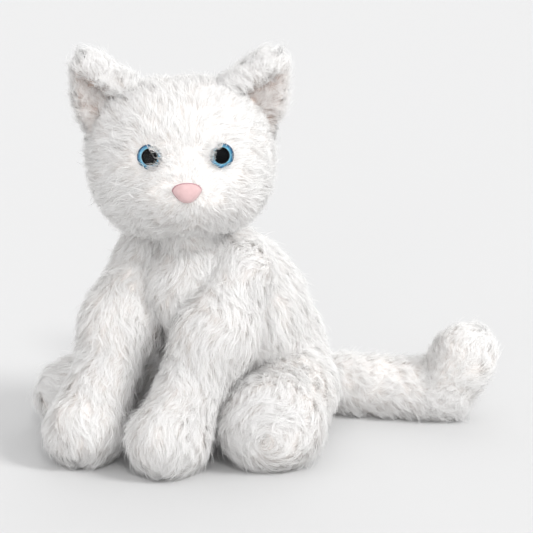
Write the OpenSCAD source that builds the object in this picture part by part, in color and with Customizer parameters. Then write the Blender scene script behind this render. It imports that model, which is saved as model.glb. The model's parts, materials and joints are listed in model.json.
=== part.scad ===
// Plush cat, sitting on its haunches with its head turned to its left and its tail laid out sideways.
// Millimetres. +Z is up, the chest faces -Y and the cat's left side is +X.
// The origin is the centre of the flat seat, so the floor is the plane z = 0.

/* [Body] */
// Radius of the seat end of the body
seat_r = 49; // [46:0.5:51]
// Height of the seat end's centre above the floor
seat_z = 44; // [42:0.5:45]
// Radius of the chest end of the body
chest_r = 34; // [32:0.5:35]
// How far the chest leans forward of the seat
lean = 46; // [44:0.5:48]
// Height of the chest end's centre
chest_z = 104; // [102:0.5:106]
// Height of the flat top of the body, under the neck
body_top_z = 131; // [130:0.5:132]
// Width of the flat bottom panel's cut above the floor
seat_panel_h = 8; // [6:0.5:10]

/* [Cloth and filling] */
// Thickness of a cover: backing cloth and the dense foot of the pile
cloth = 2.5; // [2:0.1:3]
// Half of the seam gap between two covers
seam = 0.1; // [0.1:0.05:0.15]
// Gap between a cover and its filling
fill_gap = 0.2; // [0.15:0.05:0.3]
// Clearance between the body and a limb that moves
clear = 0.8; // [0.6:0.1:1]

/* [Head] */
// Height of the head's centre
head_z = 180; // [179:0.5:182]
// How far the head is in front of the seat's centre
head_fwd = 72; // [70:0.5:73]
// How far the head is turned to the cat's left
head_turn = 34; // [30:1:36]
// Radius of each half of the skull
skull_r = 43; // [42:0.5:44]
// Half of the distance between the two halves' centres
skull_half = 9.5; // [9:0.5:11]
// Radius of the muzzle
muzzle_r = 20; // [19:0.5:21]
// Half width of the strip over the crown and of the chin strip
gusset_half = 13; // [12:0.5:14]

/* [Eyes and nose] */
// Radius of an eye
eye_r = 7; // [6.5:0.1:7.5]
// Half of the distance between the eyes
eye_half = 19.8; // [19:0.1:21]
// Height of the eyes above the head's centre
eye_z = 6.5; // [5:0.5:9]
// Height of the clear dome
dome_h = 3; // [2.5:0.1:3.5]
// Radius of the eye's shank
post_r = 1.6; // [1.4:0.1:1.8]
// Radius of the nose's rounded corners
nose_r = 2.8; // [2.5:0.1:3]
// Depth of the nose's centre below the head's centre
nose_drop = 12.4; // [11:0.2:14]

/* [Limbs] */
// Half of the distance between the shoulders
shoulder_half = 32; // [31:0.5:33]
// Height of the shoulders
shoulder_z = 118; // [117:0.5:119]
// Radius at the shoulder
shoulder_r = 18; // [17:0.5:18.5]
// Radius of a front paw
paw_r = 21; // [20:0.5:22]
// Radius at the hip
hip_r = 27; // [26:0.5:28]
// Radius of a hind foot
foot_r = 25; // [24:0.5:25.5]
// Radius of the tail
tail_r = 17; // [16:0.5:17.5]

/* [Hidden] */

$fn = 48;
ARC_STEPS = 6;     // straight steps in each rounded end of a limb's profile
FAR = 300;         // larger than the whole cat, for half-space cuts
LEFT = 1;
RIGHT = -1;

FUR = "white";
FILL = "whitesmoke";
PINK = [0.93, 0.78, 0.79];

seat_c = [0, 0, seat_z];
chest_c = [0, -lean, chest_z];
head_c = [-2, -head_fwd, head_z];
neck_c = [0, -60, body_top_z + 6];
neck_r = 18;
plug_r = 10;
plug_h = 20;
pouch_r = 15;
belly_back_y = -7;   // where the belly panel ends, between the hips

shoulder_y = -60;
paw_l = [12, -110, paw_r];
paw_rt = [-42, -115, paw_r];
hip_l = [42, -16, 30];
hip_rt = [-42, -18, 30];
foot_l = [57.5, -74, foot_r];
foot_rt = [-82, -66, foot_r];
tail_a = [12, 38, tail_r];
tail_b = [107, 63.5, tail_r];
tail_c = [120.5, 69, 41];
tail_end_r = tail_r + 0.5;

// Half profile of a limb lying along +Y of the sketch, with round ends of radius r0 and r1
function limb_profile(r0, r1, len) =
  let (lean_a = asin((r0 - r1) / len))
  concat(
    [for (i = [0 : ARC_STEPS]) let (a = -90 + i * (90 + lean_a) / ARC_STEPS)
      [r0 * cos(a), r0 * sin(a)]],
    [for (i = [0 : ARC_STEPS]) let (a = lean_a + i * (90 - lean_a) / ARC_STEPS)
      [r1 * cos(a), len + r1 * sin(a)]]
  );

// Moves +Z onto the line from p to q, starting at p
module along(p, q) {
  d = q - p;
  translate(p) rotate([0, acos(d.z / norm(d)), atan2(d.y, d.x)]) children();
}

// Round-ended limb from p to q; grow makes it thicker all over
module limb(p, q, r0, r1, grow = 0) {
  along(p, q) rotate_extrude() polygon(limb_profile(r0 + grow, r1 + grow, norm(q - p)));
}

// Everything above the height z
module above(z) {
  translate([-FAR, -FAR, z]) cube([2 * FAR, 2 * FAR, FAR]);
}

// The half-space on one side of the plane y = 0, set back by the seam gap
module side_y(s) {
  translate([-FAR, s > 0 ? seam : -FAR - seam, -FAR]) cube([2 * FAR, FAR, 2 * FAR]);
}

// The half-space on one side of the plane x = 0, set back by the seam gap
module side_x(s) {
  translate([s > 0 ? seam : -FAR - seam, -FAR, -FAR]) cube([FAR, 2 * FAR, 2 * FAR]);
}

// Cover of a limb: its skin without the filling
module limb_cover(p, q, r0, r1) {
  difference() {
    limb(p, q, r0, r1);
    limb(p, q, r0, r1, -cloth);
  }
}

module limb_filling(p, q, r0, r1) {
  limb(p, q, r0, r1, -cloth - fill_gap);
}

// ---- body ----

// Room for a limb that can swing by the angle a towards the body
module swing_room(p, q, r, a) {
  len = norm(q - p);
  limb(p, q, r + clear, r + clear + len * sin(a));
}

// Room that the limbs and the neck need inside the body, over their whole travel
module limb_room() {
  for (s = [LEFT, RIGHT]) {
    swing_room([s * shoulder_half, shoulder_y, shoulder_z], s > 0 ? paw_l : paw_rt, shoulder_r, 7);
    swing_room(s > 0 ? hip_l : hip_rt, s > 0 ? foot_l : foot_rt, hip_r, 8);
  }
  swing_room(tail_a, tail_b, tail_r, 9);
  translate([neck_c.x, neck_c.y, neck_c.z - neck_r - clear]) cylinder(r = neck_r, h = FAR);
  translate([neck_c.x, neck_c.y, neck_c.z - plug_h - clear]) cylinder(r = plug_r + clear, h = FAR);
}

module body_cover() {
  difference() {
    limb(seat_c, chest_c, seat_r, chest_r);
    intersection() {
      limb(seat_c, chest_c, seat_r, chest_r, -cloth);
      above(cloth);
      translate([-FAR, -FAR, body_top_z - cloth - FAR]) cube([2 * FAR, 2 * FAR, FAR]);
    }
    limb_room();
    above(body_top_z);
  }
}

// Front part of the body, before the side seams; set_back moves its back planes forward
module belly_zone(set_back) {
  intersection() {
    along(seat_c, chest_c) translate([set_back, -FAR, -FAR]) cube([FAR, 2 * FAR, 2 * FAR]);
    translate([-FAR, belly_back_y - set_back - FAR, -FAR]) cube([2 * FAR, FAR, 2 * FAR]);
  }
}

module body_back_panel(s) {
  color(FUR) difference() {
    intersection() {
      body_cover();
      along(seat_c, chest_c) side_y(s);
      above(seat_panel_h + seam);
    }
    belly_zone(-seam);
    label_tape(0.1);
  }
}

module belly_panel() {
  color(FUR) intersection() {
    body_cover();
    belly_zone(seam);
    above(seat_panel_h + seam);
  }
}

module seat_panel() {
  color(FUR) intersection() {
    body_cover();
    translate([-FAR, -FAR, 0]) cube([2 * FAR, 2 * FAR, seat_panel_h - seam]);
  }
}

module body_filling() {
  g = cloth + fill_gap;
  color(FILL) difference() {
    intersection() {
      limb(seat_c, chest_c, seat_r, chest_r, -g);
      above(g);
    }
    limb_room();
    above(body_top_z - g);
    translate([0, 0, g + pouch_r]) sphere(r = pouch_r + fill_gap);
  }
}

// Small bag of weighting pellets, low in the seat
module pellet_pouch() {
  color("lightgray") translate([0, 0, cloth + fill_gap + pouch_r + 0.5]) sphere(r = pouch_r - 0.5);
}

// Folded tape sewn into the seam down the back
module label_tape(grow = 0) {
  size = [0.8, 15, 16] + 2 * grow * [1, 1, 1];
  translate([0, seat_r + 5.2, seat_z + 6]) cube(size, center = true);
}

module care_label() {
  color("white") label_tape();
}

// ---- neck ----

module neck_core() {
  color(FUR) translate(neck_c) rotate_extrude() polygon(concat(
    [[0, -plug_h], [plug_r - 1.5, -plug_h], [plug_r, -plug_h + 1.5]],
    [for (i = [0 : ARC_STEPS])
      let (a = 90 - (ARC_STEPS - i) * (90 + acos(plug_r / neck_r)) / ARC_STEPS)
      [neck_r * cos(a), neck_r * sin(a)]]
  ));
}

// Drawstring that closes the neck seam
module neck_thread() {
  color("gainsboro") translate([neck_c.x, neck_c.y, neck_c.z - 4])
    rotate_extrude() translate([neck_r + 0.7, 0]) circle(r = 0.6, $fn = 24);
}

// ---- head ----

muzzle_c = [0, -32, -13];
chin_back_y = 5;    // where the chin strip ends, behind the head's centre
eye_depth = sqrt(pow(skull_r, 2) - pow(eye_half - skull_half, 2) - pow(eye_z - 1, 2));
eye_base = [eye_half, -eye_depth, eye_z];

module in_head() {
  translate(head_c) rotate([0, 0, head_turn]) children();
}

module head_shape(grow = 0) {
  limb([-skull_half, 0, 1], [skull_half, 0, 1], skull_r, skull_r, grow);
  translate(muzzle_c) sphere(r = muzzle_r + grow);
}

// Room for the neck's ball, in the head's own frame
module neck_room() {
  rotate([0, 0, -head_turn]) translate(neck_c - head_c) sphere(r = neck_r + clear);
}

// Puts an eye's own axis, +Z outwards, on the face
module at_eye(s) {
  mirror([s > 0 ? 0 : 1, 0, 0]) along([skull_half, 0, 1], eye_base)
    translate([0, 0, skull_r]) children();
}

module head_cover() {
  difference() {
    head_shape();
    head_shape(-cloth);
    neck_room();
    for (s = [LEFT, RIGHT]) at_eye(s) translate([0, 0, -8]) cylinder(r = post_r + fill_gap, h = 16);
  }
}

module head_panel(s) {
  color(FUR) in_head() intersection() {
    head_cover();
    translate([s > 0 ? gusset_half + seam : -FAR - gusset_half - seam, -FAR, -FAR])
      cube([FAR, 2 * FAR, 2 * FAR]);
  }
}

module crown_gusset() {
  color(FUR) in_head() difference() {
    intersection() {
      head_cover();
      translate([-gusset_half + seam, -FAR, -FAR]) cube([2 * (gusset_half - seam), 2 * FAR, 2 * FAR]);
    }
    translate([-FAR, -FAR + chin_back_y + seam, -FAR - nose_drop + seam]) cube([2 * FAR, FAR, FAR]);
  }
}

module chin_panel() {
  color(FUR) in_head() intersection() {
    head_cover();
    translate([-gusset_half + seam, -FAR + chin_back_y - seam, -FAR - nose_drop - seam])
      cube([2 * (gusset_half - seam), FAR, FAR]);
  }
}

module head_filling() {
  color(FILL) in_head() difference() {
    head_shape(-cloth - fill_gap);
    neck_room();
    for (s = [LEFT, RIGHT]) at_eye(s) {
      translate([0, 0, -9.5]) cylinder(r = post_r + fill_gap, h = 16);
      translate([0, 0, -4.8]) cylinder(r = 5.8, h = 12);
    }
  }
}

module nose() {
  color(PINK) in_head() difference() {
    translate([0, muzzle_c.y - muzzle_r - 1, -nose_drop]) hull() {
      for (x = [-5.6, 5.6]) translate([x, 0, 2]) sphere(r = nose_r, $fn = 20);
      translate([0, 0, -3]) sphere(r = nose_r, $fn = 20);
    }
    translate(muzzle_c) sphere(r = muzzle_r + 0.2);
  }
}

module eye_lens(s) {
  dome_r = (pow(eye_r, 2) + pow(dome_h, 2)) / (2 * dome_h);
  color([0.75, 0.85, 0.9, 0.35]) in_head() at_eye(s) translate([0, 0, 2.3]) intersection() {
    cylinder(r = eye_r, h = 2 * dome_h);
    translate([0, 0, dome_h - dome_r]) sphere(r = dome_r);
  }
}

module eye_iris(s) {
  color("steelblue") in_head() at_eye(s) translate([0, 0, 0.4]) cylinder(r = eye_r - 0.2, h = 1);
}

module eye_pupil(s) {
  color("black") in_head() at_eye(s) translate([0, 0, 1.6]) cylinder(r = 0.6 * eye_r, h = 0.5);
}

module eye_post(s) {
  color("darkslategray") in_head() at_eye(s) translate([0, 0, -9]) cylinder(r = post_r, h = 9.2);
}

module eye_washer(s) {
  color("lightgray") in_head() at_eye(s) translate([0, 0, -4.5]) difference() {
    cylinder(r = 5.5, h = 1.2);
    translate([0, 0, -1]) cylinder(r = post_r + 0.2, h = 4);
  }
}

// ---- ears, in the head's frame ----

// Outline of an ear on the x-z plane: two base corners and the round tip
module ear_outline(inset = 0) {
  hull() {
    translate([52, 12]) circle(r = 4 - inset, $fn = 32);
    translate([28, 42]) circle(r = 4 - inset, $fn = 32);
    translate([57, 54]) circle(r = 8 - inset, $fn = 32);
  }
}

module ear_plate(s, y0, y1, inset) {
  in_head() difference() {
    mirror([s > 0 ? 0 : 1, 0, 0]) translate([0, y1, 0]) rotate([90, 0, 0])
      linear_extrude(height = y1 - y0) ear_outline(inset);
    head_shape(1.5);
  }
}

module ear_back(s) {
  color(FUR) ear_plate(s, 0, 4, 0);
}

module ear_lining(s) {
  color(PINK) ear_plate(s, -2.2, -0.2, 1.5);
}

// ---- front legs ----

module front_leg_panel(s, half) {
  p = [s * shoulder_half, shoulder_y, shoulder_z];
  q = s > 0 ? paw_l : paw_rt;
  color(FUR) intersection() {
    limb_cover(p, q, shoulder_r, paw_r);
    along(p, q) side_y(half);
  }
}

module front_leg_filling(s) {
  p = [s * shoulder_half, shoulder_y, shoulder_z];
  color(FILL) limb_filling(p, s > 0 ? paw_l : paw_rt, shoulder_r, paw_r);
}

// ---- hind legs ----

module hind_leg_panel(s, half) {
  p = s > 0 ? hip_l : hip_rt;
  q = s > 0 ? foot_l : foot_rt;
  color(FUR) intersection() {
    limb_cover(p, q, hip_r, foot_r);
    along(p, q) side_y(half);
  }
}

module hind_leg_filling(s) {
  color(FILL) limb_filling(s > 0 ? hip_l : hip_rt, s > 0 ? foot_l : foot_rt, hip_r, foot_r);
}

// ---- tail ----

module tail_base_panel(half) {
  color(FUR) difference() {
    intersection() {
      limb_cover(tail_a, tail_b, tail_r, tail_r);
      along(tail_a, tail_b) side_x(half);
    }
    swing_room(tail_b, tail_c, tail_r, 21);
  }
}

module tail_base_filling() {
  color(FILL) difference() {
    limb_filling(tail_a, tail_b, tail_r, tail_r);
    swing_room(tail_b, tail_c, tail_r, 21);
  }
}

module tail_tip_panel(half) {
  color(FUR) intersection() {
    limb_cover(tail_b, tail_c, tail_r, tail_end_r);
    along(tail_b, tail_c) side_x(half);
  }
}

module tail_tip_filling() {
  color(FILL) limb_filling(tail_b, tail_c, tail_r, tail_end_r);
}

body_back_panel(LEFT);  // back_panel_left
body_back_panel(RIGHT);  // back_panel_right
belly_panel();
seat_panel();
body_filling();
pellet_pouch();
care_label();
neck_core();
neck_thread();
head_panel(LEFT);  // head_panel_left
head_panel(RIGHT);  // head_panel_right
crown_gusset();
chin_panel();
head_filling();
nose();
eye_lens(LEFT);  // eye_lens_left
eye_iris(LEFT);  // eye_iris_left
eye_pupil(LEFT);  // eye_pupil_left
eye_post(LEFT);  // eye_post_left
eye_washer(LEFT);  // eye_washer_left
eye_lens(RIGHT);  // eye_lens_right
eye_iris(RIGHT);  // eye_iris_right
eye_pupil(RIGHT);  // eye_pupil_right
eye_post(RIGHT);  // eye_post_right
eye_washer(RIGHT);  // eye_washer_right
ear_back(LEFT);  // ear_back_left
ear_lining(LEFT);  // ear_lining_left
ear_back(RIGHT);  // ear_back_right
ear_lining(RIGHT);  // ear_lining_right
front_leg_panel(LEFT, 1);  // front_leg_outer_left
front_leg_panel(LEFT, -1);  // front_leg_inner_left
front_leg_filling(LEFT);  // front_leg_filling_left
front_leg_panel(RIGHT, -1);  // front_leg_outer_right
front_leg_panel(RIGHT, 1);  // front_leg_inner_right
front_leg_filling(RIGHT);  // front_leg_filling_right
hind_leg_panel(LEFT, 1);  // hind_leg_outer_left
hind_leg_panel(LEFT, -1);  // hind_leg_inner_left
hind_leg_filling(LEFT);  // hind_leg_filling_left
hind_leg_panel(RIGHT, -1);  // hind_leg_outer_right
hind_leg_panel(RIGHT, 1);  // hind_leg_inner_right
hind_leg_filling(RIGHT);  // hind_leg_filling_right
tail_base_panel(-1);  // tail_base_upper
tail_base_panel(1);  // tail_base_lower
tail_base_filling();
tail_tip_panel(-1);  // tail_tip_upper
tail_tip_panel(1);  // tail_tip_lower
tail_tip_filling();
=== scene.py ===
"""Looks of the sitting plush cat: stuffed cloth covers, a combed long pile made of real strands, domed
plastic eyes, a padded nose and lined ears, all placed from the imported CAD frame. Units are metres."""

import json
import math

import bmesh
import bpy
import numpy as np
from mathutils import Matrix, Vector


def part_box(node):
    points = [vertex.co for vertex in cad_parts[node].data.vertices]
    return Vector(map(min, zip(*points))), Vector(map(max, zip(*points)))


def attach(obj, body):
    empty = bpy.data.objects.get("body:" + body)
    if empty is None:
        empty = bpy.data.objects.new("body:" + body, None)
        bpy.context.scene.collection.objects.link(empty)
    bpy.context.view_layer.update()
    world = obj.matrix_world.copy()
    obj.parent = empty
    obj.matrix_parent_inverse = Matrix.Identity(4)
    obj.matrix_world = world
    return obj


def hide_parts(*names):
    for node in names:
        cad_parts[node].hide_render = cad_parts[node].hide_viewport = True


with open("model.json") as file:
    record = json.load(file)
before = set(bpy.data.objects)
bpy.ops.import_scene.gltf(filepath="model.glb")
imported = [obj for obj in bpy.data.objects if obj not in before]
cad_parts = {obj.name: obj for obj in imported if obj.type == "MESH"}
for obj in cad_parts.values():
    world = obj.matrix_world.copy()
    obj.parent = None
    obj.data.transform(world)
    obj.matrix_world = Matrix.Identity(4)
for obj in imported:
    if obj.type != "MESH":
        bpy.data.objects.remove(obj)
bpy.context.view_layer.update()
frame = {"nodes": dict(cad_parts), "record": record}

MM = 0.001
LEFT, RIGHT = 1, -1
SIDES = {"left": LEFT, "right": RIGHT}
rng = np.random.default_rng(20)

# The camera, as a photographer would stand to see the cat's turned face nearly straight on.
CAMERA_AZIMUTH = 28.0
CAMERA_ELEVATION = 13.0
CAMERA_DISTANCE = 1.25
CAMERA_LENS = 140.7
CAMERA_AIM = np.array([31.0, -28.0, 108.0]) * MM


# ---- places and sizes, worked out from the frame ----


def box(*nodes):
    """The box round several CAD nodes, as numpy corners."""
    corners = [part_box(n) for n in nodes]
    return np.min([c[0] for c in corners], 0), np.max([c[1] for c in corners], 0)


def joint(name):
    """A joint's pivot and axis."""
    j = next(j for j in frame["record"]["behaviour"]["joints"] if j["name"] == name)
    return np.array(j["pos_m"], float), np.array(j["axis"], float)


SEAT_R = 49 * MM
CHEST_R = 34 * MM
SKULL_R = 43 * MM
NECK_R = 18 * MM
SHOULDER_R = 18 * MM
PAW_R = 21 * MM
HIP_R = 27 * MM
FOOT_R = 25 * MM
TAIL_R = 17 * MM
GUSSET_HALF = 13 * MM
SEAT_PANEL_H = 8 * MM
BELLY_BACK_Y = -7 * MM
EAR_THICK = 4 * MM

SKULL_HALF = 9.5    # half the length of the skull's axis, in millimetres as in_head takes them

UP = np.array([0.0, 0.0, 1.0])

SEAT = np.array([0, 0, 44]) * MM
CHEST = np.array([0, -46, 104]) * MM
NECK = joint("head_nod")[0]
FACE_RIGHT_TO_LEFT = joint("head_nod")[1]
FACE_FORWARD = np.cross(FACE_RIGHT_TO_LEFT, UP)
HEAD_AXES = np.array([FACE_RIGHT_TO_LEFT, -FACE_FORWARD, UP])
EARS_MID = np.mean([np.mean(box(f"ear_back_{s}"), 0) for s in SIDES], 0)
HEAD = EARS_MID + FACE_FORWARD * EAR_THICK / 2
HEAD[2] = box("crown_gusset")[1][2] - SKULL_R - 1 * MM

SHOULDER = {s: joint(f"front_leg_swing_{s}")[0] for s in SIDES}
HIP = {s: joint(f"hind_leg_splay_{s}")[0] for s in SIDES}
TAIL_ROOT = joint("tail_swing")[0]
TAIL_BEND = joint("tail_curl")[0]


def paw_centre(s):
    """The middle of a front paw, which stands on the floor."""
    low, _ = box(f"front_leg_outer_{s}", f"front_leg_inner_{s}")
    return np.array([low[0] + PAW_R, low[1] + PAW_R, PAW_R])


def foot_centre(s):
    """The middle of a hind paw, at the outer front corner of its leg's box."""
    low, high = box(f"hind_leg_outer_{s}", f"hind_leg_inner_{s}")
    x = high[0] - FOOT_R if s == "left" else low[0] + FOOT_R
    return np.array([x, low[1] + FOOT_R, FOOT_R])


PAW = {s: paw_centre(s) for s in SIDES}
FOOT = {s: foot_centre(s) for s in SIDES}
TAIL_END_R = TAIL_R + 0.5 * MM
TAIL_END = box("tail_tip_upper", "tail_tip_lower")[1] - TAIL_END_R


def in_head(x, y, z):
    """A point given in the head's own frame, in millimetres: +x to the cat's left, -y out of the face."""
    return HEAD + np.array([x, y, z]) * MM @ HEAD_AXES


# ---- small vector helpers on arrays of points ----


def unit(v):
    return v / np.maximum(np.linalg.norm(v, axis=-1, keepdims=True), 1e-12)


def flat(v, n):
    """The part of v that lies in the surface whose normal is n, as unit vectors."""
    return unit(v - n * np.sum(v * n, -1, keepdims=True))


def smooth(x, low, high):
    t = np.clip((x - low) / (high - low), 0, 1)
    return t * t * (3 - 2 * t)


def waves(p, length, seed):
    """A smooth random number from about -1 to 1 at each point, with bumps about `length` across."""
    r = np.random.default_rng(seed)
    total = 0
    for _ in range(5):
        k = r.normal(size=3)
        k *= 2 * math.pi / length / np.linalg.norm(k) * r.uniform(0.6, 1.4)
        total = total + np.sin(p @ k + r.uniform(0, 2 * math.pi))
    return total / 2.5


# ---- forms: signed distance to each stuffed piece's cloth ----


def cone(p, a, b, ra, rb):
    """A round-ended limb from a to b."""
    ab = b - a
    t = np.clip((p - a) @ ab / (ab @ ab), 0, 1)[:, None]
    return np.linalg.norm(p - a - t * ab, axis=1) - (ra + (rb - ra) * t[:, 0])


def ball(p, c, r):
    """A sphere of radius r about c."""
    return np.linalg.norm(p - c, axis=1) - r


def egg(p, c, radii, axes=None):
    """An ellipsoid with its radii along the rows of axes."""
    q = p - c
    if axes is not None:
        q = q @ axes.T
    k0 = np.linalg.norm(q / radii, axis=1)
    k1 = np.linalg.norm(q / radii**2, axis=1)
    return k0 * (k0 - 1) / np.maximum(k1, 1e-9)


def join(a, b, k):
    """Union of two distances with a fillet of about k."""
    h = np.clip(0.5 + 0.5 * (b - a) / k, 0, 1)
    return b + (a - b) * h - k * h * (1 - h)


def torso_form(p):
    d = cone(p, SEAT, CHEST, SEAT_R, CHEST_R)
    d = join(d, ball(p, CHEST + np.array([0, -13, -9]) * MM, 27 * MM), 16 * MM)
    d = join(d, ball(p, SEAT + (CHEST - SEAT) * 0.55 + np.array([0, 5, 0]) * MM, 43 * MM), 16 * MM)
    for s, sign in SIDES.items():
        d = join(d, ball(p, SHOULDER[s] + np.array([-3 * sign, 6, -9]) * MM, SHOULDER_R - 2 * MM), 14 * MM)
        d = join(d, ball(p, HIP[s] + np.array([0, 6, 0]) * MM, HIP_R - 4 * MM), 14 * MM)
    return d


def neck_form(p):
    return cone(p, NECK - 12 * MM * UP, NECK, NECK_R, NECK_R)


def head_form(p):
    r = SKULL_R - 0.5 * MM
    d = cone(p, in_head(-SKULL_HALF, 0, 0.5), in_head(SKULL_HALF, 0, 0.5), r, r)
    for sign in (LEFT, RIGHT):
        d = join(d, ball(p, in_head(20 * sign, -8, -15), 26.5 * MM), 10 * MM)
    return join(d, egg(p, in_head(0, -30, -16.5), np.array([24, 21, 19]) * MM, HEAD_AXES), 12 * MM)


def front_leg_form(s):
    a, b = SHOULDER[s], PAW[s]
    top = a + (np.array([-1, 0, -7]) if s == "left" else np.array([0, 0, -2])) * MM
    ankle = a + (b - a) * 0.78
    upper = a + (b - a) * 0.42 + np.array([2.5 * SIDES[s], 0, 0]) * MM
    toe = b + np.array([0, -2, 0]) * MM

    def form(p):
        d = cone(p, top, ankle, SHOULDER_R - 1 * MM, SHOULDER_R - 0.5 * MM)
        d = join(d, ball(p, upper, 19.5 * MM), 16 * MM)
        return join(d, egg(p, toe, np.array([21.5, 23, 20.5]) * MM), 12 * MM)

    return form


def hind_leg_form(s):
    a, b = HIP[s], FOOT[s]
    axis = unit(b - a)
    across = unit(np.cross(axis, UP))
    axes = np.array([axis, across, np.cross(across, axis)])
    hip_r = HIP_R - (1 if s == "left" else 8) * MM
    ankle_r = FOOT_R - (1 if s == "left" else 6) * MM
    sink = 0 if s == "left" else -4 * MM
    toes = np.array([23, 28, 24.5]) * MM + sink * np.array([0.2, 0.5, 1])

    def form(p):
        d = cone(p, a + (hip_r - HIP_R) * UP, b - axis * 8 * MM + sink * UP, hip_r, ankle_r)
        return join(d, egg(p, b - axis * 1 * MM + sink * UP, toes, axes), 12 * MM)

    return form


def tail_base_form(p):
    return cone(p, TAIL_ROOT, TAIL_BEND, TAIL_R, TAIL_R)


def tail_tip_form(p):
    return cone(p, TAIL_BEND, TAIL_END, TAIL_R, TAIL_END_R)


# An ear's outline in the head's frame, for the cat's left: (x, z) of its corners and how far it rounds them
EAR_FOOT, EAR_INNER, EAR_TIP = np.array([[48.5, 12.5], [31.0, 36.0], [51.7, 49.5]])
EAR_FOOT_R, EAR_TIP_R = 3.5, 9.0
EAR_FLAT = 3.2      # half the thickness of the flat part
EAR_ROLL = 13.0     # width of the thick roll along the upper edge
EAR_MIDDLE = (45.0, 36.0)
EAR_ROUNDING = (12, 33)     # heights between which the corners' rounding grows
EAR_ROLL_FORWARD = 3.2      # how far the roll stands forward
EAR_ROLL_SWELL = 2.2        # how much thicker than the flat part half the roll is
EAR_CUP = 2.0               # how deep the lining is cupped


def triangle(q, corners):
    """Signed distance to a triangle in the plane."""
    best = np.full(len(q), np.inf)
    inside = np.full(len(q), True)
    for a, b in zip(corners, np.roll(corners, -1, 0)):
        ab, aq = b - a, q - a
        t = np.clip(aq @ ab / (ab @ ab), 0, 1)
        best = np.minimum(best, np.linalg.norm(aq - t[:, None] * ab, axis=1))
        side = ab[0] * aq[:, 1] - ab[1] * aq[:, 0]
        third = corners.sum(0) - a - b
        inside &= side * (ab[0] * (third - a)[1] - ab[1] * (third - a)[0]) > 0
    return np.where(inside, -best, best)


def ear_places(p, side):
    """For points about an ear, in millimetres: how far outside its outline, how far in from its upper edge,
    and how far behind its middle sheet."""
    q = (p - HEAD) @ HEAD_AXES.T / MM
    x, y, z = q[:, 0] * SIDES[side], q[:, 1], q[:, 2]
    flat_q = np.stack([x, z], 1)
    rounded = EAR_FOOT_R + (EAR_TIP_R - EAR_FOOT_R) * smooth(z, *EAR_ROUNDING)
    outline = triangle(flat_q, np.array([EAR_FOOT, EAR_INNER, EAR_TIP])) - rounded
    up_edge = EAR_TIP - EAR_INNER
    down = np.array([up_edge[1], -up_edge[0]]) / np.linalg.norm(up_edge)
    from_upper = (flat_q - EAR_INNER) @ down + rounded
    return outline, from_upper, y


def ear_form(side):
    """A thin cupped cushion, with a thick roll along its upper edge that stands forward of the lining."""

    def form(p):
        outline, from_upper, y = ear_places(p, side)
        roll = 1 - smooth(from_upper, EAR_ROLL - 5, EAR_ROLL + 2)
        cup = smooth(-outline, 0, 12) * (1 - roll)
        sheet = 1 - EAR_ROLL_FORWARD * roll + EAR_CUP * cup
        half = EAR_FLAT + EAR_ROLL_SWELL * roll
        q = np.stack([outline + EAR_FLAT, np.abs(y - sheet) - half + EAR_FLAT], 1)
        d = np.minimum(q.max(1), 0) + np.linalg.norm(np.maximum(q, 0), axis=1) - EAR_FLAT
        return d * MM

    return form


def ear_lined(side):
    """Whether points on an ear's cloth belong to its lining."""

    def lined(p):
        outline, from_upper, y = ear_places(p, side)
        return (y < 2.0) & (outline < -0.8) & (from_upper > EAR_ROLL - 1)

    return lined


def ear_skin(side, form, rows=44, sectors=84):
    """Vertices and faces of an ear's closed skin: a flattened ball drawn onto its form."""
    verts = []
    turn = np.linspace(0, 2 * math.pi, sectors, endpoint=False)
    out = np.stack([np.cos(turn), np.sin(turn)], 1)
    reach = np.zeros(sectors)
    for _ in range(60):
        q = np.array(EAR_MIDDLE) + out * reach[:, None]
        p = np.array([in_head(SIDES[side] * x, 0, z) for x, z in q])
        reach -= np.minimum(ear_places(p, side)[0], 0) * 0.8
    for i in range(1, rows):
        tilt = math.pi * i / rows
        for (ox, oz), r in zip(out, reach):
            x, z = EAR_MIDDLE[0] + ox * r * math.sin(tilt), EAR_MIDDLE[1] + oz * r * math.sin(tilt)
            verts.append(in_head(SIDES[side] * x, -6 * math.cos(tilt), z))
    poles = [in_head(SIDES[side] * EAR_MIDDLE[0], y, EAR_MIDDLE[1]) for y in (-6, 6)]
    verts = onto(form, np.array([poles[0], *verts, poles[1]]), share=0.8, steps=12)

    def at(i, j):
        return 1 + (i - 1) * sectors + j % sectors

    faces = [(0, at(1, j), at(1, j + 1)) for j in range(sectors)]
    for i in range(1, rows - 1):
        for j in range(sectors):
            faces.append((at(i, j + 1), at(i, j), at(i + 1, j), at(i + 1, j + 1)))
    faces += [(at(rows - 1, j + 1), at(rows - 1, j), len(verts) - 1) for j in range(sectors)]
    if side == "right":
        faces = [f[::-1] for f in faces]
    return verts, faces


def gradient(form, p):
    """The outward normal of a form at each point."""
    e = 0.2 * MM
    g = np.stack([form(p + e * a) - form(p - e * a) for a in np.eye(3)], 1)
    return unit(g)


def onto(form, p, share=1.0, steps=1, most=4 * MM):
    """Moves points towards a form's surface along its normal."""
    for _ in range(steps):
        d = np.clip(form(p), -most, most)
        p = p - gradient(form, p) * (d * share)[:, None]
    return p


# ---- meshes ----


def new_mesh(name, verts, corners, starts):
    """A mesh object from flat arrays: vertex places, corner vertex numbers and each face's first corner."""
    me = bpy.data.meshes.new(name)
    me.vertices.add(len(verts))
    me.vertices.foreach_set("co", np.asarray(verts, np.float32).ravel())
    me.loops.add(len(corners))
    me.loops.foreach_set("vertex_index", np.asarray(corners, np.int32))
    me.polygons.add(len(starts))
    me.polygons.foreach_set("loop_start", np.asarray(starts, np.int32))
    me.update(calc_edges=True)
    me.validate()
    ob = bpy.data.objects.new(name, me)
    bpy.context.scene.collection.objects.link(ob)
    return ob


def mesh_of(name, verts, faces):
    """A mesh object from a list of faces."""
    starts = np.cumsum([0] + [len(f) for f in faces[:-1]])
    return new_mesh(name, verts, np.concatenate([np.asarray(f) for f in faces]), starts)


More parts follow.
